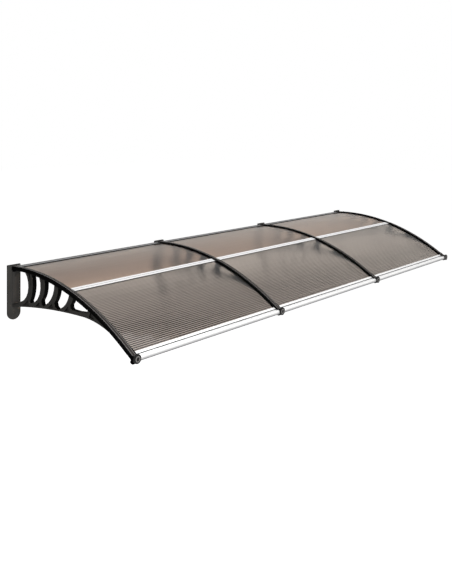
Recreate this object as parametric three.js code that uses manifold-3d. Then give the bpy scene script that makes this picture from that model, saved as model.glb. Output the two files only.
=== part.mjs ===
// Wall-mounted door and window canopy: curved twin-wall sheets held by metal rails between moulded brackets.
// Millimetres. X runs along the wall, +Y points into the wall and +Z is up.
// The origin is on the wall, in the middle of the canopy's width, on the back of the rear seal.
import * as THREE from 'three';
import { mergeVertices } from 'three/addons/utils/BufferGeometryUtils.js';
import Module from 'manifold-3d';

const wasm = await Module();
wasm.setup();

// Layout along the wall
const BAYS = 3;
const BRACKET_SPACING = 990;

// Arch: every curved piece follows circles about one axis. A lift is a height above the sheets' outer face.
const ARCH_RADIUS = 1428;
const APEX_Y = -108;
const APEX_Z = 6;
const ARCH_STEP = 0.03;
const SMALL_SIDES = 10;
const LARGE_SIDES = 18;
const FIT = 0.3;

// Sheets
const SHEET_THICKNESS = 5;
const SHEET_SKIN = 0.6;
const FLUTE_PITCH = 10.5;
const SHEET_REAR_Y = -12;

// Wall plate of a bracket
const PLATE_WIDTH = 73;
const PLATE_THICKNESS = 8;
const PLATE_TOP = 18;
const PLATE_HEIGHT = 276;
const PLATE_TOP_CORNER = 2;
const RIDGE_HEIGHT = 3;
const RIDGE_WIDTH = 52;
const RIDGE_TOP = -52;
const RIDGE_BOTTOM = -162;
const WALL_HOLE_RADIUS = 3;
const COUNTERBORE_RADIUS = 8;
const COUNTERBORE_DEPTH = 3;
const WALL_HOLES = [-33, -226];

// Arm and web of a bracket
const ARM_WIDTH = 30;
const ARM_THICKNESS = 4.7;
const ARM_NOSE_THICKNESS = 2.4;
const SPINE_WIDTH = 6;
const WEB_WIDTH = 22;
const WEB_CORE = 8;
const RIB_RIM = 19;
const EDGE_RIM = 8;
const WEB_ROOT = 3;

// Covers over the arms
const COVER_HEIGHT = 8;
const COVER_WALL = 2;
const COVER_WIDTH = 30;
const FRONT_COVER_RISE = 1;
const FRONT_COVER_WIDTH = 33;
const COVER_JOINT_Y = -486;
const COVER_GAP = 0.6;
const GASKET_THICKNESS = 2;
const GASKET_START_Y = -40;

// Screws that hold the covers
const SCREW_RADIUS = 1.5;
const SCREW_CLEARANCE = 0.4;
const SCREW_LENGTH = 14;
const SCREW_HEAD_RADIUS = 4;
const SCREW_HEAD_HEIGHT = 2;
const SCREW_BOSS_RADIUS = 4;
const REAR_SCREW_Y = -70;
const FRONT_SCREW_Y = -500;

// Rails and front bar
const METAL_WALL = 1.5;
const RAIL_CLEARANCE = 0.3;
const MID_RAIL_Y = -470;
const MID_RAIL_WIDTH = 31;
const MID_GROOVE_WIDTH = 3;
const MID_GROOVE_DEPTH = 0.8;
const REAR_RAIL_FRONT_Y = -31;
const REAR_RAIL_UPSTAND = 4.2;
const LIP_SEAL_FRONT_Y = -47;
const BAR_EDGE_Y = -900;
const BAR_SLOT_DEPTH = 14;
const BAR_GROOVE_WIDTH = 2.6;
const BAR_GROOVE_DEPTH = 1.2;
const BAR_CENTRE = 35.4;
const BAR_RADIUS = 12;
const BAR_TUBE_WALL = 1.8;
const HOOK_RADIUS = 17.5;
const HOOK_OPEN_TO = 29;
const DISH_RADIUS = 8;
const DISH_FLOOR = 13.6;

// Seal between the rear rail and the wall
const SEAL_TOP = 7;
const SEAL_BOTTOM = -9;

const material = (color, roughness, metalness, opacity = 1) =>
  new THREE.MeshStandardMaterial({ color, roughness, metalness, opacity, transparent: opacity < 1 });
const BLACK_PLASTIC = material(0x1d1d1c, 0.55, 0);
const COVER_PLASTIC = material(0x2b2a29, 0.45, 0);
const BRONZE_SHEET = material(0x8f8172, 0.3, 0, 0.7);
const ALUMINIUM = material(0xe4e3e2, 0.3, 0.9);
const RUBBER = material(0x161616, 0.8, 0);
const STEEL = material(0x3a3a3c, 0.4, 0.8);

// Points and outlines in the plane across the wall: a Vector2's x is the row's Y, and its y is the row's Z.
const point = (y, z) => new THREE.Vector2(y, z);

function angleAt(y, lift = 0) {
  return Math.asin((APEX_Y - y) / (ARCH_RADIUS + lift));
}

function onArch(angle, lift) {
  const radius = ARCH_RADIUS + lift;
  return point(APEX_Y - radius * Math.sin(angle), APEX_Z - ARCH_RADIUS + radius * Math.cos(angle));
}

// A point at a distance straight below the sheets' outer face.
function below(y, drop) {
  return point(y, onArch(angleAt(y), 0).y - drop);
}

function archPoints(from, to, lift) {
  const steps = Math.max(1, Math.ceil(Math.abs(to - from) / ARCH_STEP));
  return Array.from({ length: steps + 1 }, (_, i) => onArch(from + ((to - from) * i) / steps, lift));
}

function archBand(from, to, low, high) {
  return [...archPoints(from, to, high), ...archPoints(to, from, low)];
}

// The arc from a to c that passes through b, without its last point.
function arcThrough(a, b, c, steps) {
  const [p, q] = [b.clone().sub(a), c.clone().sub(a)];
  const cross = 2 * (p.x * q.y - p.y * q.x);
  const centre = point(
    a.x + (q.y * p.lengthSq() - p.y * q.lengthSq()) / cross,
    a.y + (p.x * q.lengthSq() - q.x * p.lengthSq()) / cross,
  );
  const radius = centre.distanceTo(a);
  const heading = (v) => Math.atan2(v.y - centre.y, v.x - centre.x);
  const [start, end] = [heading(a), heading(c)];
  const turn = 2 * Math.PI;
  const sweep = cross > 0 ? (end - start + turn) % turn : -((start - end + turn) % turn);
  return Array.from({ length: steps }, (_, i) => {
    const angle = start + (sweep * i) / steps;
    return point(centre.x + radius * Math.cos(angle), centre.y + radius * Math.sin(angle));
  });
}

// Moves a closed outline outwards by a distance, or inwards by a negative one.
function grow(outline, distance) {
  const side = Math.sign(THREE.ShapeUtils.area(outline));
  return outline.map((here, i) => {
    const before = outline[(i + outline.length - 1) % outline.length];
    const after = outline[(i + 1) % outline.length];
    const [p, q] = [here.clone().sub(before).normalize(), after.clone().sub(here).normalize()];
    const normal = point((p.y + q.y) * side, -(p.x + q.x) * side).normalize();
    const mitre = Math.max(0.5, normal.x * p.y * side - normal.y * p.x * side);
    return here.clone().addScaledVector(normal, distance / mitre);
  });
}

// Extrusions: across the wall's plane, centred on x, and from the wall outwards.
function alongX(outline, width, holes = [], x = 0) {
  const shape = new THREE.Shape(outline);
  shape.holes = holes.map((hole) => new THREE.Path(hole));
  const geometry = new THREE.ExtrudeGeometry(shape, { depth: width, bevelEnabled: false });
  geometry.translate(0, 0, x - width / 2);
  const axes = new THREE.Matrix4().makeBasis(
    new THREE.Vector3(0, 1, 0), new THREE.Vector3(0, 0, 1), new THREE.Vector3(1, 0, 0));
  return geometry.applyMatrix4(axes);
}

function outFromWall(shape, start, depth) {
  const geometry = new THREE.ExtrudeGeometry(shape, { depth, bevelEnabled: false, curveSegments: 14 });
  geometry.rotateX(Math.PI / 2);
  return geometry.translate(0, -start, 0);
}

function rod(radius, length, sides) {
  return new THREE.CylinderGeometry(radius, radius, length, sides);
}

// Solids for cuts and joins
function solid(geometry) {
  const bare = geometry.clone();
  bare.deleteAttribute('normal');
  bare.deleteAttribute('uv');
  const merged = mergeVertices(bare, 1e-4);
  return new wasm.Manifold(new wasm.Mesh({
    numProp: 3,
    vertProperties: new Float32Array(merged.attributes.position.array),
    triVerts: new Uint32Array(merged.index.array),
  }));
}

function geometryOf(body) {
  const mesh = body.getMesh();
  const geometry = new THREE.BufferGeometry();
  geometry.setAttribute('position', new THREE.BufferAttribute(mesh.vertProperties, 3));
  geometry.setIndex(new THREE.BufferAttribute(mesh.triVerts, 1));
  geometry.computeVertexNormals();
  return geometry;
}

const join = (first, ...rest) => rest.reduce((body, other) => body.add(other), first);
const cut = (first, ...rest) => rest.reduce((body, other) => body.subtract(other), first);

// Places that several pieces share
const ARM_TOP = -SHEET_THICKNESS - FIT;
const ARM_BOTTOM = ARM_TOP - ARM_THICKNESS;
const BAR_ANGLE = angleAt(BAR_EDGE_Y, METAL_WALL);
const MID_ANGLE = angleAt(MID_RAIL_Y);
const ARM_END = BAR_ANGLE - FIT / ARCH_RADIUS;
const RAIL_END = FRONT_COVER_WIDTH / 2 + RAIL_CLEARANCE;
const RAIL_LENGTH = BRACKET_SPACING - 2 * RAIL_END;
const SHEET_LENGTH = BRACKET_SPACING - SPINE_WIDTH - 2 * FIT;

// A point beside the front bar: along the sheet's slope from the bar's upper edge, and above the sheet's outer face.
function byBar(forward, lift) {
  const edge = onArch(BAR_ANGLE, 0);
  return point(
    edge.x - forward * Math.cos(BAR_ANGLE) - lift * Math.sin(BAR_ANGLE),
    edge.y - forward * Math.sin(BAR_ANGLE) + lift * Math.cos(BAR_ANGLE),
  );
}

function byBarBox(from, to, low, high) {
  return [byBar(from, high), byBar(to, high), byBar(to, low), byBar(from, low)];
}

function barCircle(radius, sides = LARGE_SIDES) {
  const centre = byBar(BAR_CENTRE, 0);
  return Array.from({ length: sides }, (_, i) => {
    const angle = BAR_ANGLE + (2 * Math.PI * i) / sides;
    return point(centre.x + radius * Math.cos(angle), centre.y + radius * Math.sin(angle));
  });
}

// A rod square to the arch, reaching from one lift to another.
function archRod(y, from, to, radius) {
  const angle = angleAt(y);
  const middle = onArch(angle, (from + to) / 2);
  const geometry = rod(radius, to - from, SMALL_SIDES).rotateX(Math.PI / 2 + angle);
  return solid(geometry.translate(0, middle.x, middle.y));
}

// Bracket
const NOSE_UNDER = ARM_TOP - ARM_NOSE_THICKNESS;
const OPENING_TOP = ARM_BOTTOM + ARM_THICKNESS / 2;
const ARM_STEP_Y = -625;

// The bracket's lower edge from where it leaves the arm back to the wall, raised by a distance.
function lowerEdge(rise) {
  const start = onArch(angleAt(-806), NOSE_UNDER + rise);
  const crest = below(-600, 56 - rise);
  const root = below(-WEB_ROOT, 195.5 - rise);
  return [
    ...arcThrough(start, below(-705, 26 - rise), crest, 6),
    ...arcThrough(crest, below(-340, 136 - rise), root, 10),
    root,
  ];
}

function webOutline() {
  return [
    ...archPoints(angleAt(-WEB_ROOT), ARM_END, ARM_TOP),
    ...archPoints(ARM_END, angleAt(-806), NOSE_UNDER).slice(0, -1),
    ...lowerEdge(0),
  ];
}

// The openings between the ribs, from the wall to the front. They are cut into the web up to inside the arm.
function webOpenings() {
  const under = (y) => onArch(angleAt(y), OPENING_TOP);
  const wallSide = -PLATE_THICKNESS - RIDGE_HEIGHT;
  return [
    [
      under(wallSide),
      ...arcThrough(under(-122), below(-152, 66), below(-87, 159), 7),
      ...arcThrough(below(-87, 159), below(-52, 175), below(wallSide, 181), 3),
      below(wallSide, 181),
    ],
    [
      ...arcThrough(under(-245), below(-256, 58), below(-181, 149), 6),
      ...arcThrough(below(-181, 149), below(-172, 151), below(-168, 142), 2),
      ...arcThrough(below(-168, 142), below(-191, 72), under(-183), 5),
      under(-183),
    ],
    [
      ...arcThrough(under(-371), below(-350, 73), below(-298, 126), 5),
      ...arcThrough(below(-298, 126), below(-272, 138), below(-263, 118), 3),
      ...arcThrough(below(-263, 118), below(-291, 62), under(-291), 5),
      under(-291),
    ],
    [
      ...arcThrough(under(-487), below(-470, 47), below(-424, 97), 5),
      ...arcThrough(below(-424, 97), below(-378, 112), below(-369, 95), 4),
      ...arcThrough(below(-369, 95), below(-393, 51), under(-402), 4),
      under(-402),
    ],
    [
      under(-520),
      ...arcThrough(under(-616), below(-622, 21), below(-604, 33), 3),
      ...arcThrough(below(-604, 33), below(-550, 57), below(-505, 71), 2),
      ...arcThrough(below(-505, 71), below(-494, 58), below(-504, 41), 4),
      below(-504, 41),
    ],
  ];
}

function wallPlate() {
  const half = PLATE_WIDTH / 2;
  const [top, bottom] = [PLATE_TOP, PLATE_TOP - PLATE_HEIGHT];
  const shape = new THREE.Shape();
  shape.absarc(0, bottom + half, half, Math.PI, 2 * Math.PI);
  shape.lineTo(half, top - PLATE_TOP_CORNER);
  shape.lineTo(half - PLATE_TOP_CORNER, top);
  shape.lineTo(-half + PLATE_TOP_CORNER, top);
  shape.lineTo(-half, top - PLATE_TOP_CORNER);
  const ridge = new THREE.Shape([
    point(-RIDGE_WIDTH / 2, -PLATE_THICKNESS + FIT),
    point(0, -PLATE_THICKNESS - RIDGE_HEIGHT),
    point(RIDGE_WIDTH / 2, -PLATE_THICKNESS + FIT),
  ]);
  const ridgeLength = RIDGE_TOP - RIDGE_BOTTOM;
  const ridgeGeometry = new THREE.ExtrudeGeometry(ridge, { depth: ridgeLength, bevelEnabled: false });
  return join(
    solid(outFromWall(shape, 0, PLATE_THICKNESS)),
    solid(ridgeGeometry.translate(0, 0, RIDGE_BOTTOM)),
  );
}

function wallHole(z) {
  const depth = PLATE_THICKNESS + 2 * RIDGE_HEIGHT;
  const seat = -PLATE_THICKNESS + COUNTERBORE_DEPTH;
  return join(
    solid(rod(WALL_HOLE_RADIUS, 2 * depth, SMALL_SIDES).translate(0, 0, z)),
    solid(rod(COUNTERBORE_RADIUS, depth, LARGE_SIDES).translate(0, seat - depth / 2, z)),
  );
}

// The web with its openings and with the V-shaped hollows where a rib spreads into the arm and the lower edge.
function web() {
  const openings = webOpenings();
  const depth = (WEB_WIDTH - WEB_CORE) / 2;
  const field = [
    ...archPoints(angleAt(-PLATE_THICKNESS - RIDGE_HEIGHT), angleAt(-650), OPENING_TOP),
    ...lowerEdge(EDGE_RIM).slice(4),
  ];
  const rims = openings.map((outline) => solid(alongX(grow(outline, RIB_RIM), 2 * WEB_WIDTH)));
  const hollows = [-1, 1].map((side) =>
    cut(solid(alongX(field, depth + 1, [], (side * (WEB_CORE + depth + 1)) / 2)), ...rims));
  return cut(solid(alongX(webOutline(), WEB_WIDTH, openings)), ...hollows);
}

// The curved flange that the sheets lie on. It is thinner in front of the web.
function arm() {
  const wallSide = angleAt(-WEB_ROOT);
  const step = angleAt(ARM_STEP_Y);
  return solid(alongX([
    ...archPoints(wallSide, ARM_END, ARM_TOP),
    ...archPoints(ARM_END, step, NOSE_UNDER),
    ...archPoints(step, wallSide, ARM_BOTTOM),
  ], ARM_WIDTH));
}

function bracketGeometry() {
  const body = join(
    wallPlate(),
    web(),
    arm(),
    solid(alongX(archBand(angleAt(-WEB_ROOT), ARM_END, ARM_TOP - FIT, 0), SPINE_WIDTH)),
    solid(alongX(byBarBox(-BAR_SLOT_DEPTH, BAR_CENTRE, ARM_TOP, 0), SPINE_WIDTH)),
    solid(alongX(barCircle(BAR_RADIUS - FIT), SPINE_WIDTH)),
  );
  const holes = [REAR_SCREW_Y, FRONT_SCREW_Y].map((y) =>
    archRod(y, COVER_HEIGHT - SCREW_LENGTH - 1, 1, SCREW_RADIUS + SCREW_CLEARANCE / 2));
  return geometryOf(cut(body, ...WALL_HOLES.map(wallHole), ...holes));
}

// Covers
function coverChannel(from, to, width, height) {
  const inside = width - 2 * COVER_WALL;
  return cut(
    solid(alongX(archBand(from, to, FIT, height), width)),
    solid(alongX(archBand(from - ARCH_STEP, to + ARCH_STEP, -1, height - COVER_WALL), inside)),
  );
}

function screwBoss(cover, y, height) {
  const boss = archRod(y, GASKET_THICKNESS + 2 * FIT, height - COVER_WALL / 2, SCREW_BOSS_RADIUS);
  return cut(join(cover, boss), archRod(y, 0, height + 1, SCREW_RADIUS + SCREW_CLEARANCE));
}

function rearCoverGeometry() {
  const start = angleAt(-PLATE_THICKNESS - FIT, COVER_HEIGHT);
  const end = angleAt(COVER_JOINT_Y) - COVER_GAP / ARCH_RADIUS;
  return geometryOf(screwBoss(coverChannel(start, end, COVER_WIDTH, COVER_HEIGHT), REAR_SCREW_Y, COVER_HEIGHT));
}

// The round dish in the front of a hook
function frontDish() {
  const centre = byBar(BAR_CENTRE, 0);
  return rod(DISH_RADIUS, HOOK_RADIUS, LARGE_SIDES).translate(0, centre.x - DISH_FLOOR - HOOK_RADIUS / 2, centre.y);
}

function frontCoverGeometry() {
  const height = COVER_HEIGHT + FRONT_COVER_RISE;
  const channel = coverChannel(angleAt(COVER_JOINT_Y), BAR_ANGLE, FRONT_COVER_WIDTH, height);
  const hook = join(
    solid(alongX(byBarBox(-1, BAR_CENTRE, FIT, height), FRONT_COVER_WIDTH)),
    solid(alongX(barCircle(HOOK_RADIUS, 24), FRONT_COVER_WIDTH)),
  );
  const barSlot = byBarBox(-FIT, BAR_CENTRE, -SHEET_THICKNESS - METAL_WALL - 2 * FIT, METAL_WALL + 2 * FIT);
  const bored = cut(
    hook,
    solid(alongX(barCircle(BAR_RADIUS + FIT), 2 * FRONT_COVER_WIDTH)),
    solid(alongX(barSlot, 2 * FRONT_COVER_WIDTH)),
    solid(alongX(byBarBox(0, HOOK_OPEN_TO, -2 * HOOK_RADIUS, -SHEET_THICKNESS), 2 * FRONT_COVER_WIDTH)),
    solid(alongX(byBarBox(-2, 0, -1, height - COVER_WALL), FRONT_COVER_WIDTH - 2 * COVER_WALL)),
    solid(frontDish()),
  );
  return geometryOf(screwBoss(join(channel, bored), FRONT_SCREW_Y, height));
}

function gasketGeometry() {
  const strip = archBand(angleAt(GASKET_START_Y), BAR_ANGLE - 3 * FIT / ARCH_RADIUS, FIT, FIT + GASKET_THICKNESS);
  const holes = [REAR_SCREW_Y, FRONT_SCREW_Y].map((y) =>
    archRod(y, -1, GASKET_THICKNESS + 2, SCREW_RADIUS + SCREW_CLEARANCE));
  const width = COVER_WIDTH - 2 * COVER_WALL - 2 * FIT;
  return geometryOf(cut(solid(alongX(strip, width)), ...holes));
}

// Fills the sheet's place on the outer side of an end bracket, and the side of its hook.
function endTrimGeometry() {
  const width = ARM_WIDTH / 2 - SPINE_WIDTH / 2 - FIT;
  const middle = ARM_WIDTH / 2 - width / 2;
  const neck = byBarBox(FIT, BAR_CENTRE, -SHEET_THICKNESS - METAL_WALL, METAL_WALL);
  return geometryOf(join(
    solid(alongX(archBand(angleAt(SHEET_REAR_Y), BAR_ANGLE + METAL_WALL / ARCH_RADIUS, -SHEET_THICKNESS, 0), width, [], middle)),
    solid(alongX(neck, width, [], middle)),
    solid(alongX(barCircle(BAR_RADIUS), width, [], middle)),
  ));
}

function screwGeometry() {
  const profile = [
    [0, -SCREW_LENGTH], [SCREW_RADIUS * 0.4, -SCREW_LENGTH], [SCREW_RADIUS, -SCREW_LENGTH + 2],
    [SCREW_RADIUS, FIT / 3], [SCREW_HEAD_RADIUS, FIT / 3], [SCREW_HEAD_RADIUS, SCREW_HEAD_HEIGHT * 0.6],
    [SCREW_HEAD_RADIUS * 0.8, SCREW_HEAD_HEIGHT], [0, SCREW_HEAD_HEIGHT],
  ];
  return new THREE.LatheGeometry(profile.map(([radius, height]) => point(radius, height)), SMALL_SIDES);
}

// Sheets
function sheetGeometry(from, to) {
  const flutes = Math.floor(((to - from) * ARCH_RADIUS - SHEET_SKIN) / FLUTE_PITCH);
  const pitch = (to - from - SHEET_SKIN / ARCH_RADIUS) / flutes;
  const half = (pitch - SHEET_SKIN / ARCH_RADIUS) / 2;
  const holes = Array.from({ length: flutes }, (_, i) => {
    const middle = from + SHEET_SKIN / 2 / ARCH_RADIUS + pitch * (i + 0.5);
    const [low, high] = [SHEET_SKIN - SHEET_THICKNESS, -SHEET_SKIN];
    return [
      onArch(middle - half, high), onArch(middle + half, high),
      onArch(middle + half, low), onArch(middle - half, low),
    ];
  });
  return alongX(archBand(from, to, -SHEET_THICKNESS, 0), SHEET_LENGTH, holes);
}

// Rails
function midRailGeometry() {
  const middle = onArch(MID_ANGLE, 0);
  const place = (along, lift) => point(
    middle.x - along * Math.cos(MID_ANGLE) - lift * Math.sin(MID_ANGLE),
    middle.y - along * Math.sin(MID_ANGLE) + lift * Math.cos(MID_ANGLE),
  );
  const [half, web, groove] = [MID_RAIL_WIDTH / 2, METAL_WALL / 2, MID_GROOVE_WIDTH / 2];
  const top = FIT + METAL_WALL;
  const foot = -SHEET_THICKNESS - FIT;
  const outline = [
    [-half, FIT], [-web, FIT], [-web, foot], [-half, foot], [-half, foot - METAL_WALL],
    [half, foot - METAL_WALL], [half, foot], [web, foot], [web, FIT], [half, FIT], [half, top],
    [groove, top], [groove, top - MID_GROOVE_DEPTH], [-groove, top - MID_GROOVE_DEPTH], [-groove, top], [-half, top],
  ];
  return alongX(outline.map(([along, lift]) => place(along, lift)), RAIL_LENGTH);
}

function rearRailGeometry() {
  const back = -PLATE_THICKNESS - FIT;
  const front = REAR_RAIL_FRONT_Y;
  const slotTop = onArch(angleAt(front), 0).y + FIT;
  const slotBottom = onArch(angleAt(SHEET_REAR_Y), -SHEET_THICKNESS).y - FIT;
  const [roof, inner] = [slotTop + METAL_WALL, back - METAL_WALL];
  const outline = [
    [back, slotBottom - METAL_WALL], [back, roof + REAR_RAIL_UPSTAND], [inner, roof + REAR_RAIL_UPSTAND],
    [inner, roof], [front + METAL_WALL, roof], [front + METAL_WALL, roof + METAL_WALL / 2],
    [front, roof + METAL_WALL / 2], [front, slotTop], [inner, slotTop], [inner, slotBottom],
    [front, slotBottom], [front, slotBottom - METAL_WALL],
  ];
  return alongX(outline.map(([y, z]) => point(y, z)), RAIL_LENGTH);
}

function frontBarGeometry() {
  const top = FIT + METAL_WALL;
  const foot = -SHEET_THICKNESS - FIT;
  const slotEnd = BAR_SLOT_DEPTH;
  const grooveEnd = slotEnd + BAR_GROOVE_WIDTH;
  const ridge = [
    [0, FIT], [slotEnd, FIT], [slotEnd, foot], [FIT, foot], [FIT, foot - METAL_WALL + FIT],
    [BAR_CENTRE, foot - METAL_WALL + FIT], [BAR_CENTRE, top], [grooveEnd, top], [grooveEnd, top - BAR_GROOVE_DEPTH],
    [slotEnd, top - BAR_GROOVE_DEPTH], [slotEnd, top], [0, top],
  ];
  const length = BRACKET_SPACING - SPINE_WIDTH - 2 * FIT;
  return geometryOf(cut(
    join(
      solid(alongX(ridge.map(([forward, lift]) => byBar(forward, lift)), length)),
      solid(alongX(barCircle(BAR_RADIUS), length)),
    ),
    solid(alongX(barCircle(BAR_RADIUS - BAR_TUBE_WALL), length + 2)),
  ));
}

// A strip that rests on the sheet in front of the rear rail.
function lipSealGeometry() {
  const strip = archBand(angleAt(REAR_RAIL_FRONT_Y - FIT), angleAt(LIP_SEAL_FRONT_Y), FIT, FIT + METAL_WALL);
  return alongX(strip, RAIL_LENGTH);
}

function wallSealGeometry() {
  const outline = [
    [0, SEAL_BOTTOM], [-PLATE_THICKNESS, SEAL_BOTTOM], [-PLATE_THICKNESS, SEAL_TOP], [0, SEAL_TOP],
  ];
  const length = BRACKET_SPACING - PLATE_WIDTH - 2 * FIT;
  return alongX(outline.map(([y, z]) => point(y, z)), length);
}

// Assembly
function mesh(name, geometry, finish) {
  const piece = new THREE.Mesh(geometry, finish);
  piece.name = name;
  return piece;
}

// A copy of a geometry on the other side of x = 0
function mirrored(geometry) {
  const copy = geometry.clone().applyMatrix4(new THREE.Matrix4().makeScale(-1, 1, 1));
  const index = copy.index.array;
  for (let i = 0; i < index.length; i += 3) {
    [index[i], index[i + 1]] = [index[i + 1], index[i]];
  }
  copy.computeVertexNormals();
  return copy;
}

function coverScrew(name, geometry, y, lift) {
  const angle = angleAt(y);
  const seat = onArch(angle, lift);
  const screw = mesh(name, geometry, STEEL);
  screw.position.set(0, seat.x, seat.y);
  screw.rotation.x = Math.PI / 2 + angle;
  return screw;
}

const sheetGap = (METAL_WALL / 2 + FIT) / ARCH_RADIUS;
const shared = {
  bracket: bracketGeometry(),
  rearCover: rearCoverGeometry(),
  frontCover: frontCoverGeometry(),
  gasket: gasketGeometry(),
  endTrim: endTrimGeometry(),
  screw: screwGeometry(),
  rearSheet: sheetGeometry(angleAt(SHEET_REAR_Y), MID_ANGLE - sheetGap),
  frontSheet: sheetGeometry(MID_ANGLE + sheetGap, BAR_ANGLE + (BAR_SLOT_DEPTH - 2 * FIT) / ARCH_RADIUS),
  rearRail: rearRailGeometry(),
  midRail: midRailGeometry(),
  frontBar: frontBarGeometry(),
  wallSeal: wallSealGeometry(),
  lipSeal: lipSealGeometry(),
};

const canopy = new THREE.Group();
for (let i = 0; i <= BAYS; i += 1) {
  const bracket = new THREE.Group();
  const n = i + 1;
  bracket.position.x = (i - BAYS / 2) * BRACKET_SPACING;
  bracket.add(
    mesh(`bracket_${n}`, shared.bracket, BLACK_PLASTIC),
    mesh(`rear_cover_${n}`, shared.rearCover, COVER_PLASTIC),
    mesh(`front_cover_${n}`, shared.frontCover, COVER_PLASTIC),
    mesh(`glazing_gasket_${n}`, shared.gasket, RUBBER),
    coverScrew(`rear_screw_${n}`, shared.screw, REAR_SCREW_Y, COVER_HEIGHT),
    coverScrew(`front_screw_${n}`, shared.screw, FRONT_SCREW_Y, COVER_HEIGHT + FRONT_COVER_RISE),
  );
  canopy.add(bracket);
}
for (let i = 0; i < BAYS; i += 1) {
  const bay = new THREE.Group();
  const n = i + 1;
  bay.position.x = (i - (BAYS - 1) / 2) * BRACKET_SPACING;
  bay.add(
    mesh(`rear_sheet_${n}`, shared.rearSheet, BRONZE_SHEET),
    mesh(`front_sheet_${n}`, shared.frontSheet, BRONZE_SHEET),
    mesh(`rear_rail_${n}`, shared.rearRail, ALUMINIUM),
    mesh(`middle_rail_${n}`, shared.midRail, ALUMINIUM),
    mesh(`front_bar_${n}`, shared.frontBar, ALUMINIUM),
    mesh(`wall_seal_${n}`, shared.wallSeal, RUBBER),
    mesh(`lip_seal_${n}`, shared.lipSeal, RUBBER),
  );
  canopy.add(bay);
}
[-1, 1].forEach((side, i) => {
  const end = new THREE.Group();
  end.position.x = (side * BAYS * BRACKET_SPACING) / 2;
  const trim = mesh(`end_trim_${i + 1}`, side > 0 ? shared.endTrim : mirrored(shared.endTrim), BLACK_PLASTIC);
  end.add(trim);
  canopy.add(end);
});

export default canopy;
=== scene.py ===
# Door and window canopy: materials, small fittings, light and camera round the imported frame.
# Metres, in the frame of the CAD model: +X along the wall, +Y into the wall, +Z up.
import math

import bmesh
import bpy
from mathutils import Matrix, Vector


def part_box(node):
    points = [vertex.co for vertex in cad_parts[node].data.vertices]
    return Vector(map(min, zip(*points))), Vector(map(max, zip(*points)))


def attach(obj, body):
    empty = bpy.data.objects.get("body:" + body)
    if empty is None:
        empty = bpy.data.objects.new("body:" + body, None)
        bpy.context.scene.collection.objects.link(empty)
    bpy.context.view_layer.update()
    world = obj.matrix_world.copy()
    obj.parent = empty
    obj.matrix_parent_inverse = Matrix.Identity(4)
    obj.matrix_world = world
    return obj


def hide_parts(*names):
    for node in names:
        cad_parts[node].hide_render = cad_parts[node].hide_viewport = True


MM = 0.001
WHITE = (1, 1, 1, 1)

# Arch that the sheets follow, as in the CAD model
ARCH_RADIUS = 1428 * MM
APEX_Y = -108 * MM
ARCH_CENTRE_Z = 6 * MM - ARCH_RADIUS

# Sheets. The upper and lower faces tint the light, and waves in both bend it.
FLUTE_PITCH = 10.5 * MM
FLUTE_WAVE_HEIGHT = 2.2 * MM
SHEET_SKIN = 0.6 * MM
SHEET_THICKNESS = 5 * MM
OUTER_FACE_SHARE = 0.06
SHEET_IOR = 1.07
SHEET_ROUGHNESS = 0.28
SHEET_COAT = 0.35

# Tints of the sheets. Those for a view at a slant, a painted sheen, come in over a range of the layer
# weight, in patches.
FRONT_TINTS = {
    "over_rib": (0, 0, 0, 1),
    "between_ribs": (0.50, 0.44, 0.39, 1),
    "painted_sheen": (1.0, 0.92, 0.80, 1),
    "underside": (0.38, 0.30, 0.255, 1),
    "underside_painted_sheen": (0.56, 0.45, 0.38, 1),
}
REAR_TINTS = {
    "over_rib": (0.20, 0.14, 0.10, 1),
    "between_ribs": (0.55, 0.40, 0.30, 1),
    "painted_sheen": (1.0, 0.80, 0.60, 1),
    "underside": (0.42, 0.27, 0.20, 1),
    "underside_painted_sheen": (0.52, 0.32, 0.225, 1),
}
FRONT_SHEEN_SLANT = (0.52, 0.62)
REAR_SHEEN_SLANT = (0.70, 0.80)
SHEEN_PATCH_SCALE = 3.0
SHEEN_PATCH_BASE = 0.4

# Dark lines over the ribs: power and mean of their wave, and how far and where a slant fades them
LINES_POWER = 2.5
LINES_MEAN = 0.32
LINES_FADED = 0.8
LINES_SLANT = (0.42, 0.52)

# Places of the grooves along the middle rail and the front bar, as lengths along the arch
MID_RAIL_Y = -470 * MM
BAR_EDGE_Y = -900 * MM
BAR_WALL = 1.5 * MM
BAR_GROOVE_INSET = 15.3 * MM
MID_GROOVE_AT = ARCH_RADIUS * math.asin((APEX_Y - MID_RAIL_Y) / ARCH_RADIUS)
BAR_EDGE_AT = ARCH_RADIUS * math.asin((APEX_Y - BAR_EDGE_Y) / (ARCH_RADIUS + BAR_WALL))

# Grooves: their place, their width and the colour of the painted shade in them
MID_GROOVE = (MID_GROOVE_AT, 4 * MM, (0.45, 0.45, 0.46, 1))
BAR_GROOVE = (BAR_EDGE_AT + BAR_GROOVE_INSET, 5.5 * MM, (0.02, 0.02, 0.02, 1))

# Brackets: number, spacing, plates and the heights of the holes in these
BRACKETS = 4
BRACKET_SPACING = 990 * MM
PLATE_THICKNESS = 8 * MM
WALL_HOLES = {"top": -33 * MM, "bottom": -226 * MM}

# Arms: lift of their undersides, and the length along the arch at which they leave the plates. These
# bound the brackets' painted shade.
ARM_UNDERSIDE = -10.5 * MM
ARM_START = -98 * MM

# Covers: lift of their tops, then the slopes along their sides, painted black as shade, and the rims
# beside these, painted pale as a highlight. Hooks have no slopes.
REAR_COVER_HEIGHT = 8 * MM
FRONT_COVER_HEIGHT = 9 * MM
COVER_SLOPE_WIDTH = 8 * MM
COVER_SLOPE_FALL = 6 * MM
COVER_SLOPE_END = -880 * MM
COVER_HIGHLIGHT_RIM = 2 * MM
COVER_TOLERANCE = 0.4 * MM

# Tolerances for welding and cutting meshes, and angles below which faces are flat and edges smooth
WELD = 0.01 * MM
CUT = 0.001 * MM
FLAT_ANGLE = math.radians(0.5)
SMOOTH_ANGLE = math.radians(35)

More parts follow.
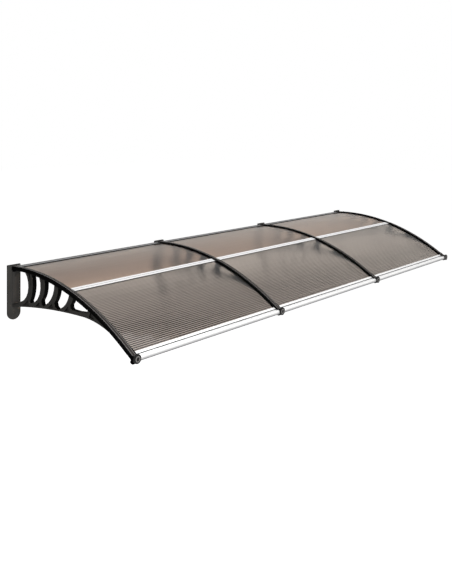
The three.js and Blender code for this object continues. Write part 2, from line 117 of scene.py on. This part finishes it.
# Limits of a normal's X inside the openings of a web, where painted shade goes, and of its Y on the
# front of a turned piece, where a painted highlight goes
SIDEWAYS = 0.5
FORWARD = -0.3

# Places of the second and third materials on a mesh: the painted highlight, then the painted shade
HIGHLIGHT_SLOT = 1
SHADE_SLOT = 2

# Turned caps and plugs: points of (radius, distance forward) in millimetres
TURNED_STEPS = 32
HOOK_CAP_Y = -938 * MM
HOOK_CAP_Z = -249 * MM
# Radii of a ring on the hook cap's front that gets a painted highlight
HOOK_CAP_HIGHLIGHT_RING = (9 * MM, 12.5 * MM)
HOOK_CAP_PROFILE = (
    (0, 0), (19, 0), (20, 1), (20, 6), (19, 7.5), (17, 8),
    (12.5, 8.2), (11.5, 9.2), (9.5, 9.2), (9, 7.8), (0, 7.8),
)
PLUG_PROFILE = (
    (0, -2.9), (7.4, -2.9), (7.7, -2.6), (7.7, 0.2), (7.2, 0.9), (5.5, 1.5), (3.0, 1.9), (0, 2.0),
)

# Tones of the plastics, rubber and metals, dark and light
# The deepest black is painted shade, on the brackets and on the covers' slopes and end trims
PAINTED_SHADE_TONES = ((0.003, 0.003, 0.003, 1), (0.006, 0.006, 0.006, 1))
BLACK = ((0.042, 0.041, 0.039, 1), (0.066, 0.063, 0.059, 1))
CHARCOAL = ((0.036, 0.032, 0.030, 1), (0.052, 0.046, 0.043, 1))
# A pale grey for painted highlights on the covers' rims and the hook caps' rings
PAINTED_HIGHLIGHT_TONES = ((0.20, 0.19, 0.185, 1), (0.26, 0.25, 0.24, 1))
RUBBER_BLACK = ((0.010, 0.010, 0.010, 1), (0.018, 0.018, 0.017, 1))
SATIN = ((0.88, 0.875, 0.87, 1), (0.95, 0.945, 0.94, 1))
GREY = ((0.30, 0.30, 0.30, 1), (0.38, 0.375, 0.37, 1))
STEEL = ((0.07, 0.07, 0.074, 1), (0.10, 0.10, 0.105, 1))

# Painted shade on the metals' undersides, and the range of a normal's height over which it goes
PAINTED_UNDERSHADE = (0.16, 0.16, 0.165, 1)
PAINTED_UNDERSHADE_RANGE = (-0.5, 0.6)

# Surface effects: scale of the gloss patches, stretch of the draw lines and heights of the reliefs
GLOSS_PATCH_SCALE = 14.0
DRAW_LINE_STRETCH = 0.004
GRAIN_HEIGHT = 0.4 * MM
DRAW_LINE_HEIGHT = 0.3 * MM

# Camera, from the fit to the photograph
PHOTO_SIZE = (452, 584)
SENSOR_WIDTH = 36.0
CLIP_END = 200.0
FOCAL_PIXELS = 697.255
HORIZON_PIXELS = 124.94
CAMERA_PLACE = (-3393.3 * MM, -3130.8 * MM, 718.6 * MM)
CAMERA_HEADING = math.radians(-48.33)

# Stage. A lamp has a name, a place, a target, a size and a power.
FLOOR_Z = -2.4
FLOOR_HALF = 40.0
FLOOR_TONE = (0.8, 0.8, 0.8, 1)
FLOOR_GLOW = 0.9
WORLD_LIGHT = 0.15
LAMPS = (
    ("overhead", (0.5, -1.5, 4.0), (0, -0.5, 0), 4.0, 130.0),
    ("front", (-3.0, -5.0, 1.2), (0, 0, -0.1), 3.0, 220.0),
)


class Tree:
    """A short way to place and link the nodes of a material or a group."""

    def __init__(self, tree):
        self.tree = tree

    def add(self, kind, inputs=None, **values):
        node = self.tree.nodes.new(kind)
        for name, value in values.items():
            setattr(node, name, value)
        self.fill(node, inputs or {})
        return node

    def fill(self, node, inputs):
        for name, value in inputs.items():
            socket = node.inputs[name]
            if isinstance(value, bpy.types.NodeSocket):
                self.tree.links.new(value, socket)
            else:
                socket.default_value = value

    def math(self, operation, *terms):
        inputs = dict(enumerate(terms))
        return self.add("ShaderNodeMath", inputs, operation=operation).outputs[0]

    def noise(self, place, scale, detail=2.0):
        node = self.add("ShaderNodeTexNoise", {"Vector": place, "Scale": scale, "Detail": detail})
        return node.outputs[0]

    def ramp(self, value, span, ends=(0.0, 1.0)):
        node = self.add("ShaderNodeMapRange", {"Value": value, "From Min": span[0], "From Max": span[1]})
        self.fill(node, {"To Min": ends[0], "To Max": ends[1]})
        return node.outputs[0]

    def blend(self, factor, low, high):
        node = self.add("ShaderNodeMix", {0: factor}, data_type="RGBA")
        self.fill(node, {6: low, 7: high})
        return node.outputs[2]


def new_group(name, inputs, outputs):
    """Makes a shader node group from {socket: (type, default)} and returns it with its two end nodes."""
    group = bpy.data.node_groups.new(name, "ShaderNodeTree")
    for socket, (kind, default) in inputs.items():
        made = group.interface.new_socket(socket, in_out="INPUT", socket_type="NodeSocket" + kind)
        if default is not None:
            made.default_value = default
    for socket, kind in outputs.items():
        group.interface.new_socket(socket, in_out="OUTPUT", socket_type="NodeSocket" + kind)
    tree = Tree(group)
    return group, tree, tree.add("NodeGroupInput"), tree.add("NodeGroupOutput")


def make_moulded_skin():
    """Fine spark-eroded texture of moulded plastic, with slow patches of gloss."""
    group, tree, start, end = new_group(
        "moulded_skin",
        {
            "Place": ("Vector", None),
            "Grain Scale": ("Float", 900.0),
            "Grain Depth": ("Float", 0.15),
            "Roughness": ("Float", 0.5),
            "Patchiness": ("Float", 0.08),
        },
        {"Roughness": "Float", "Shade": "Float", "Normal": "Vector"},
    )
    place = start.outputs["Place"]
    grain = tree.noise(place, start.outputs["Grain Scale"], 3.0)
    patches = tree.noise(place, GLOSS_PATCH_SCALE)
    swing = tree.math("MULTIPLY", tree.math("SUBTRACT", patches, 0.5), start.outputs["Patchiness"])
    rough = tree.math("ADD", start.outputs["Roughness"], tree.math("MULTIPLY", swing, 2.0))
    bump = tree.add(
        "ShaderNodeBump",
        {"Height": grain, "Strength": start.outputs["Grain Depth"], "Distance": GRAIN_HEIGHT},
    )
    tree.tree.links.new(rough, end.inputs["Roughness"])
    tree.tree.links.new(patches, end.inputs["Shade"])
    tree.tree.links.new(bump.outputs[0], end.inputs["Normal"])
    return group


def make_draw_lines():
    """Fine lines that the die leaves along an extrusion, running along X."""
    group, tree, start, end = new_group(
        "draw_lines",
        {
            "Place": ("Vector", None),
            "Line Scale": ("Float", 420.0),
            "Depth": ("Float", 0.1),
            "Roughness": ("Float", 0.3),
            "Spread": ("Float", 0.1),
        },
        {"Roughness": "Float", "Shade": "Float", "Normal": "Vector"},
    )
    stretch = tree.add(
        "ShaderNodeMapping",
        {"Vector": start.outputs["Place"], "Scale": (DRAW_LINE_STRETCH, 1.0, 1.0)},
    )
    lines = tree.noise(stretch.outputs[0], start.outputs["Line Scale"], 4.0)
    swing = tree.math("MULTIPLY", tree.math("SUBTRACT", lines, 0.5), start.outputs["Spread"])
    rough = tree.math("ADD", start.outputs["Roughness"], swing)
    bump = tree.add(
        "ShaderNodeBump",
        {"Height": lines, "Strength": start.outputs["Depth"], "Distance": DRAW_LINE_HEIGHT},
    )
    tree.tree.links.new(rough, end.inputs["Roughness"])
    tree.tree.links.new(lines, end.inputs["Shade"])
    tree.tree.links.new(bump.outputs[0], end.inputs["Normal"])
    return group


def make_arch_place():
    """Length along the arch, and lift above the sheets' outer face, of an object coordinate."""
    group, tree, start, end = new_group(
        "arch_place", {"Place": ("Vector", None)}, {"Length": "Float", "Lift": "Float"}
    )
    parts = tree.add("ShaderNodeSeparateXYZ", {0: start.outputs["Place"]})
    forward = tree.math("SUBTRACT", APEX_Y, parts.outputs[1])
    up = tree.math("SUBTRACT", parts.outputs[2], ARCH_CENTRE_Z)
    angle = tree.math("ARCTAN2", forward, up)
    length = tree.math("MULTIPLY", angle, ARCH_RADIUS)
    square = tree.math("ADD", tree.math("MULTIPLY", forward, forward), tree.math("MULTIPLY", up, up))
    lift = tree.math("SUBTRACT", tree.math("SQRT", square), ARCH_RADIUS)
    tree.tree.links.new(length, end.inputs["Length"])
    tree.tree.links.new(lift, end.inputs["Lift"])
    return group


def make_flute_wave():
    """One wave per flute along the arch, zero at the ribs, with masks of the sheet's outer faces."""
    group, tree, start, end = new_group(
        "flute_wave",
        {
            "Length": ("Float", 0.0),
            "Lift": ("Float", 0.0),
            "First Rib": ("Float", 0.0),
            "Pitch": ("Float", 0.01),
            "Thickness": ("Float", 0.005),
        },
        {"Wave": "Float", "Top": "Float", "Underside": "Float"},
    )
    turns = tree.math(
        "DIVIDE",
        tree.math("SUBTRACT", start.outputs["Length"], start.outputs["First Rib"]),
        start.outputs["Pitch"],
    )
    cosine = tree.math("COSINE", tree.math("MULTIPLY", turns, 2 * math.pi))
    wave = tree.math("MULTIPLY_ADD", cosine, -0.5, 0.5)
    margin = tree.math("MULTIPLY", start.outputs["Thickness"], OUTER_FACE_SHARE)
    depth = tree.math("ADD", start.outputs["Lift"], start.outputs["Thickness"])
    top = tree.math("GREATER_THAN", start.outputs["Lift"], tree.math("MULTIPLY", margin, -1.0))
    under = tree.math("LESS_THAN", depth, margin)
    tree.tree.links.new(wave, end.inputs["Wave"])
    tree.tree.links.new(top, end.inputs["Top"])
    tree.tree.links.new(under, end.inputs["Underside"])
    return group


class Finish:
    """A material under construction: its tree, its shader and its object coordinates."""

    def __init__(self, name, **sockets):
        self.material = bpy.data.materials.new(name)
        self.material.use_nodes = True
        self.tree = Tree(self.material.node_tree)
        self.shader = self.material.node_tree.nodes["Principled BSDF"]
        self.place = self.tree.add("ShaderNodeTexCoord").outputs["Object"]
        for socket, value in sockets.items():
            self.shader.inputs[socket.replace("_", " ")].default_value = value

    def feed(self, **sockets):
        for socket, value in sockets.items():
            self.tree.tree.links.new(value, self.shader.inputs[socket.replace("_", " ")])

    def effect(self, group, **values):
        """Places an effect group, fed with the object coordinates and the given values."""
        node = self.tree.add("ShaderNodeGroup", node_tree=group)
        self.tree.fill(node, {"Place": self.place})
        self.tree.fill(node, {name.replace("_", " "): value for name, value in values.items()})
        return node


def bracket_painted_shade(finish):
    """Mask of a bracket's painted shade: its faces under the covers and inside the openings of its web,
    off the plate.
    """
    arch = finish.effect(ARCH_PLACE)
    facing = finish.tree.add("ShaderNodeNewGeometry").outputs["Normal"]
    across = finish.tree.add("ShaderNodeSeparateXYZ", {0: facing}).outputs[0]
    in_openings = finish.tree.math("LESS_THAN", finish.tree.math("ABSOLUTE", across), SIDEWAYS)
    under_cover = finish.tree.math("GREATER_THAN", arch.outputs["Lift"], ARM_UNDERSIDE)
    off_plate = finish.tree.math("GREATER_THAN", arch.outputs["Length"], ARM_START)
    return finish.tree.math("MULTIPLY", finish.tree.math("MAXIMUM", under_cover, in_openings), off_plate)


def moulded_plastic(name, tones, roughness, gloss, grain=900.0, with_painted_shade=False):
    """Plastic or rubber with a fine grain. On a bracket, the masked faces get a deeper black as painted
    shade.
    """
    finish = Finish(name, Specular_IOR_Level=gloss)
    skin = finish.effect(MOULDED_SKIN, Roughness=roughness, Grain_Scale=grain)
    colour = finish.tree.blend(skin.outputs["Shade"], *tones)
    # Painted shade: a deeper black under the covers and in the web's openings
    if with_painted_shade:
        colour = finish.tree.blend(bracket_painted_shade(finish), colour, PAINTED_SHADE_TONES[0])
    finish.feed(
        Base_Color=colour,
        Roughness=skin.outputs["Roughness"],
        Normal=skin.outputs["Normal"],
    )
    return finish.material


def plated_steel(name, tones):
    """Dark plating, slightly uneven in tone and gloss."""
    finish = Finish(name, Metallic=1.0)
    skin = finish.effect(MOULDED_SKIN, Roughness=0.4, Grain_Scale=1500.0)
    finish.feed(
        Base_Color=finish.tree.blend(skin.outputs["Shade"], *tones),
        Roughness=skin.outputs["Roughness"],
        Normal=skin.outputs["Normal"],
    )
    return finish.material


def extruded_aluminium(name, tones, metallic, groove=None):
    """Satin extrusion, painted darker underneath as shade. Painted shade also darkens the bottom of a
    groove along it.
    """
    finish = Finish(name, Metallic=metallic, Specular_IOR_Level=0.3)
    lines = finish.effect(DRAW_LINES, Roughness=0.32, Spread=0.16)
    colour = finish.tree.blend(lines.outputs["Shade"], *tones)
    # Painted shade: faces that point down are darker
    facing = finish.tree.add("ShaderNodeNewGeometry").outputs["Normal"]
    upward = finish.tree.add("ShaderNodeSeparateXYZ", {0: facing}).outputs[2]
    colour = finish.tree.blend(finish.tree.ramp(upward, PAINTED_UNDERSHADE_RANGE), PAINTED_UNDERSHADE, colour)
    # Painted shade: a band along the groove is darker
    if groove:
        place, width, groove_shade = groove
        length = finish.effect(ARCH_PLACE).outputs["Length"]
        offset = finish.tree.math("ABSOLUTE", finish.tree.math("SUBTRACT", length, place))
        inside = finish.tree.math("LESS_THAN", offset, width / 2)
        colour = finish.tree.blend(inside, colour, groove_shade)
    finish.feed(
        Base_Color=colour,
        Roughness=lines.outputs["Roughness"],
        Normal=lines.outputs["Normal"],
    )
    return finish.material


def flutes_of(node):
    """Length along the arch to a sheet's first rib, and the pitch of its ribs, from its CAD mesh."""
    lengths = [
        ARCH_RADIUS * math.atan2(APEX_Y - v.co.y, v.co.z - ARCH_CENTRE_Z)
        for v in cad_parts[node].data.vertices
    ]
    run = max(lengths) - min(lengths) - SHEET_SKIN
    return min(lengths) + SHEET_SKIN / 2, run / math.floor(run / FLUTE_PITCH)


def bronze_sheet(name, node, tints, slant):
    """Tinted clear plastic. The waves in its faces bend what is seen through them across the ribs. Its
    lighter tint at a slant is a painted sheen.
    """
    first_rib, pitch = flutes_of(node)
    finish = Finish(name, IOR=SHEET_IOR, Transmission_Weight=1.0)
    tree = finish.tree
    arch = finish.effect(ARCH_PLACE)
    flutes = tree.add("ShaderNodeGroup", node_tree=FLUTE_WAVE)
    tree.fill(flutes, {
        "Length": arch.outputs["Length"],
        "Lift": arch.outputs["Lift"],
        "First Rib": first_rib,
        "Pitch": pitch,
        "Thickness": SHEET_THICKNESS,
    })
    wave, on_top, on_underside = (flutes.outputs[name] for name in ("Wave", "Top", "Underside"))

    # Painted sheen: a lighter tint, in patches, where the sheet is seen at a slant
    facing = tree.add("ShaderNodeLayerWeight", {"Blend": 0.5}).outputs["Facing"]
    patches = tree.math("ADD", tree.noise(finish.place, SHEEN_PATCH_SCALE), SHEEN_PATCH_BASE)
    painted_sheen = tree.math("MULTIPLY", tree.ramp(facing, slant), patches)
    sharp = tree.math("POWER", wave, LINES_POWER)
    faded = tree.ramp(facing, LINES_SLANT, (0.0, LINES_FADED))
    levelled = tree.math("MULTIPLY", tree.math("SUBTRACT", LINES_MEAN, sharp), faded)
    lines = tree.math("ADD", sharp, levelled)

    between = tree.blend(painted_sheen, tints["between_ribs"], tints["painted_sheen"])
    top = tree.blend(lines, tints["over_rib"], between)
    below = tree.blend(painted_sheen, tints["underside"], tints["underside_painted_sheen"])
    below = tree.blend(on_underside, WHITE, below)
    height = tree.math("MULTIPLY", wave, tree.math("MAXIMUM", on_top, on_underside))
    bump = tree.add("ShaderNodeBump", {"Height": height, "Strength": 1.0, "Distance": FLUTE_WAVE_HEIGHT})
    finish.feed(
        Base_Color=tree.blend(on_top, below, top),
        Roughness=tree.math("MULTIPLY", on_top, SHEET_ROUGHNESS),
        Normal=bump.outputs[0],
        Coat_Weight=tree.math("MULTIPLY", on_top, SHEET_COAT),
    )
    return finish.material


def lift_of(place):
    """Height of a point above the sheets' outer face."""
    return math.hypot(APEX_Y - place.y, place.z - ARCH_CENTRE_Z) - ARCH_RADIUS


def crowned_cover(name, height, crown, rim_highlight, slope_shade):
    """Stands for a cover of the CAD: its mesh with slopes painted black as shade and rims painted pale
    as a highlight, beside a flat crown.
    """
    low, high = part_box(name)
    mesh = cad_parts[name].data.copy()
    mesh.name = name + "_crowned"
    mesh.materials.clear()
    for material in (crown, rim_highlight, slope_shade):
        mesh.materials.append(material)
    work = bmesh.new()
    work.from_mesh(mesh)
    bmesh.ops.remove_doubles(work, verts=work.verts, dist=WELD)
    bmesh.ops.dissolve_limit(work, angle_limit=FLAT_ANGLE, verts=work.verts, edges=work.edges)
    for inset in (COVER_SLOPE_WIDTH, COVER_SLOPE_WIDTH + COVER_HIGHLIGHT_RIM):
        for across in (low[0] + inset, high[0] - inset):
            parts = work.verts[:] + work.edges[:] + work.faces[:]
            bmesh.ops.bisect_plane(
                work, geom=parts, dist=CUT, plane_co=(across, 0, 0), plane_no=(1, 0, 0),
            )

    def from_side(place):
        return min(place.x - low[0], high[0] - place.x)

    for vertex in work.verts:
        at_side = from_side(vertex.co) < COVER_TOLERANCE
        at_top = abs(lift_of(vertex.co) - height) < COVER_TOLERANCE
        if at_side and at_top and vertex.co.y > COVER_SLOPE_END:
            outward = Vector((0, vertex.co.y - APEX_Y, vertex.co.z - ARCH_CENTRE_Z)).normalized()
            vertex.co -= outward * COVER_SLOPE_FALL
    # Faces on the slopes get painted shade, those on the rims a painted highlight
    for face in work.faces:
        inset = from_side(face.calc_center_median())
        if inset < COVER_SLOPE_WIDTH:
            face.material_index = SHADE_SLOT
        elif inset < COVER_SLOPE_WIDTH + COVER_HIGHLIGHT_RIM:
            face.material_index = HIGHLIGHT_SLOT
    work.to_mesh(mesh)
    work.free()
    piece = bpy.data.objects.new(name + "_crowned", mesh)
    bpy.context.scene.collection.objects.link(piece)
    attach(piece, "root")
    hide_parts(name)


def turned(name, profile, centre, material, ring=(0, 0), highlight_material=None):
    """A piece turned about an axis along Y, with a material of its own, a painted highlight, on the ring
    between two radii.
    """
    work = bmesh.new()
    points = [
        work.verts.new((centre[0] + radius * MM, centre[1] - forward * MM, centre[2]))
        for radius, forward in profile
    ]
    outline = [work.edges.new(pair) for pair in zip(points, points[1:])]
    bmesh.ops.spin(
        work, geom=points + outline, axis=(0, 1, 0), cent=centre, angle=2 * math.pi, steps=TURNED_STEPS,
        use_merge=True,
    )
    bmesh.ops.remove_doubles(work, verts=work.verts, dist=WELD)
    bmesh.ops.recalc_face_normals(work, faces=work.faces)
    for face in work.faces:
        face.smooth = True
        middle = face.calc_center_median()
        radius = math.hypot(middle.x - centre[0], middle.z - centre[2])
        # Front faces within the ring get the painted highlight
        if face.normal.y < FORWARD and ring[0] < radius < ring[1]:
            face.material_index = HIGHLIGHT_SLOT
    mesh = bpy.data.meshes.new(name)
    work.to_mesh(mesh)
    work.free()
    mesh.set_sharp_from_angle(angle=SMOOTH_ANGLE)
    mesh.materials.append(material)
    if highlight_material:
        mesh.materials.append(highlight_material)
    piece = bpy.data.objects.new(name, mesh)
    bpy.context.scene.collection.objects.link(piece)
    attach(piece, "root")


def dress(prefix, material):
    """Gives a material to the CAD nodes that are named by this prefix and a number."""
    for name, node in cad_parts.items():
        if name.rsplit("_", 1)[0] == prefix:
            node.data.materials.clear()
            node.data.materials.append(material)


def make_camera():
    data = bpy.data.cameras.new("photo_camera")
    data.sensor_width = SENSOR_WIDTH
    data.sensor_fit = "AUTO"
    data.lens = SENSOR_WIDTH * FOCAL_PIXELS / PHOTO_SIZE[1]
    data.shift_y = (HORIZON_PIXELS - PHOTO_SIZE[1] / 2) / PHOTO_SIZE[1]
    data.clip_end = CLIP_END
    camera = bpy.data.objects.new("photo_camera", data)
    camera.location = CAMERA_PLACE
    camera.rotation_euler = (math.pi / 2, 0, CAMERA_HEADING)
    bpy.context.scene.collection.objects.link(camera)
    bpy.context.scene.camera = camera


def seen_directly(tree):
    """Mask of what the camera sees, by itself, in metal or through the sheets."""
    path = tree.add("ShaderNodeLightPath").outputs
    direct = tree.math("MAXIMUM", path["Is Camera Ray"], path["Is Glossy Ray"])
    return tree.math("MAXIMUM", direct, path["Is Transmission Ray"])


def make_world():
    """Soft even light, seen as plain white by the camera, in metal and through the sheets."""
    world = bpy.data.worlds.new("studio")
    world.use_nodes = True
    bpy.context.scene.world = world
    tree = Tree(world.node_tree)
    background = world.node_tree.nodes["Background"]
    background.inputs["Color"].default_value = WHITE
    tree.fill(background, {"Strength": tree.ramp(seen_directly(tree), (0.0, 1.0), (WORLD_LIGHT, 1.0))})


def make_floor():
    """Pale floor. A glow that only direct rays see lifts it to the background's white."""
    mesh = bpy.data.meshes.new("floor")
    work = bmesh.new()
    bmesh.ops.create_grid(work, x_segments=1, y_segments=1, size=FLOOR_HALF)
    bmesh.ops.translate(work, verts=work.verts, vec=(0, 0, FLOOR_Z))
    work.to_mesh(mesh)
    work.free()
    floor = bpy.data.objects.new("floor", mesh)
    bpy.context.scene.collection.objects.link(floor)
    finish = Finish("pale_floor", Roughness=0.9, Specular_IOR_Level=0.0)
    finish.shader.inputs["Base Color"].default_value = FLOOR_TONE
    finish.shader.inputs["Emission Color"].default_value = WHITE
    glow = finish.tree.math("MULTIPLY", seen_directly(finish.tree), FLOOR_GLOW)
    finish.feed(Emission_Strength=glow)
    mesh.materials.append(finish.material)


def make_lamp(name, place, target, size, power):
    data = bpy.data.lights.new(name, "AREA")
    data.shape = "SQUARE"
    data.size = size
    data.energy = power
    lamp = bpy.data.objects.new(name, data)
    lamp.location = place
    direction = Vector(target) - Vector(place)
    lamp.rotation_euler = direction.to_track_quat("-Z", "Y").to_euler()
    bpy.context.scene.collection.objects.link(lamp)


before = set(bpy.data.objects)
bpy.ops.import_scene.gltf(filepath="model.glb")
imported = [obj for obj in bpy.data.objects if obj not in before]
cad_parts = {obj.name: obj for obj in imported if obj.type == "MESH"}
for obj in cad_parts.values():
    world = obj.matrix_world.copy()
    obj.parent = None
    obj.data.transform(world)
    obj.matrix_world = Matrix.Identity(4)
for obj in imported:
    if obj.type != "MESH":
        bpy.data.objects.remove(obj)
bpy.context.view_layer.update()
bpy.context.scene.view_settings.view_transform = "Standard"

MOULDED_SKIN = make_moulded_skin()
DRAW_LINES = make_draw_lines()
ARCH_PLACE = make_arch_place()
FLUTE_WAVE = make_flute_wave()

black_plastic = moulded_plastic("black_plastic", BLACK, 0.5, gloss=0.01)
bracket_plastic = moulded_plastic("bracket_plastic", BLACK, 0.5, gloss=0.01, with_painted_shade=True)
cover_plastic = moulded_plastic("cover_plastic", CHARCOAL, 0.45, gloss=0.02)
cap_plastic = moulded_plastic("cap_plastic", RUBBER_BLACK, 0.4, gloss=0.08)
# Pale grey, a painted highlight on the covers' rims and the hook caps' rings
painted_highlight_grey = moulded_plastic("painted_highlight_grey", PAINTED_HIGHLIGHT_TONES, 0.4, gloss=0.1)
# Deepest black, painted shade on the covers' slopes and the end trims
painted_shade_black = moulded_plastic("painted_shade_black", PAINTED_SHADE_TONES, 0.6, gloss=0.0)
rubber = moulded_plastic("rubber", RUBBER_BLACK, 0.8, gloss=0.1, grain=500.0)
bright = extruded_aluminium("aluminium", SATIN, 0.3, BAR_GROOVE)
joint = extruded_aluminium("joint_aluminium", SATIN, 0.3, MID_GROOVE)
grey = extruded_aluminium("rear_aluminium", GREY, 0.5)
steel = plated_steel("screw_steel", STEEL)
rear_bronze = bronze_sheet("rear_bronze_sheet", "rear_sheet_1", REAR_TINTS, REAR_SHEEN_SLANT)
front_bronze = bronze_sheet("front_bronze_sheet", "front_sheet_1", FRONT_TINTS, FRONT_SHEEN_SLANT)

for prefix, material in (
    ("bracket", bracket_plastic),
    # The end trims fill the open slots at the end brackets, in the deepest black as painted shade
    ("end_trim", painted_shade_black),
    ("rear_cover", cover_plastic),
    ("front_cover", cover_plastic),
    ("glazing_gasket", rubber),
    ("wall_seal", rubber),
    # The lip seal's black rubber is a real seal and also stands in for the shade along the front of the
    # rear rail: partly painted shade
    ("lip_seal", rubber),
    ("rear_rail", grey),
    ("middle_rail", joint),
    ("front_bar", bright),
    ("rear_sheet", rear_bronze),
    ("front_sheet", front_bronze),
    ("rear_screw", steel),
    ("front_screw", steel),
):
    dress(prefix, material)

for i in range(1, BRACKETS + 1):
    across = (i - (BRACKETS + 1) / 2) * BRACKET_SPACING
    centre = (across, HOOK_CAP_Y, HOOK_CAP_Z)
    # Hook caps carry a painted highlight ring
    turned(
        f"hook_cap_{i}", HOOK_CAP_PROFILE, centre, cap_plastic,
        HOOK_CAP_HIGHLIGHT_RING, painted_highlight_grey,
    )
    for level, z in WALL_HOLES.items():
        centre = (across, -PLATE_THICKNESS, z)
        turned(f"{level}_plug_{i}", PLUG_PROFILE, centre, black_plastic)
    crowned_cover(f"rear_cover_{i}", REAR_COVER_HEIGHT, cover_plastic, painted_highlight_grey, painted_shade_black)
    crowned_cover(f"front_cover_{i}", FRONT_COVER_HEIGHT, cover_plastic, painted_highlight_grey, painted_shade_black)

make_camera()
make_world()
make_floor()
for lamp in LAMPS:
    make_lamp(*lamp)
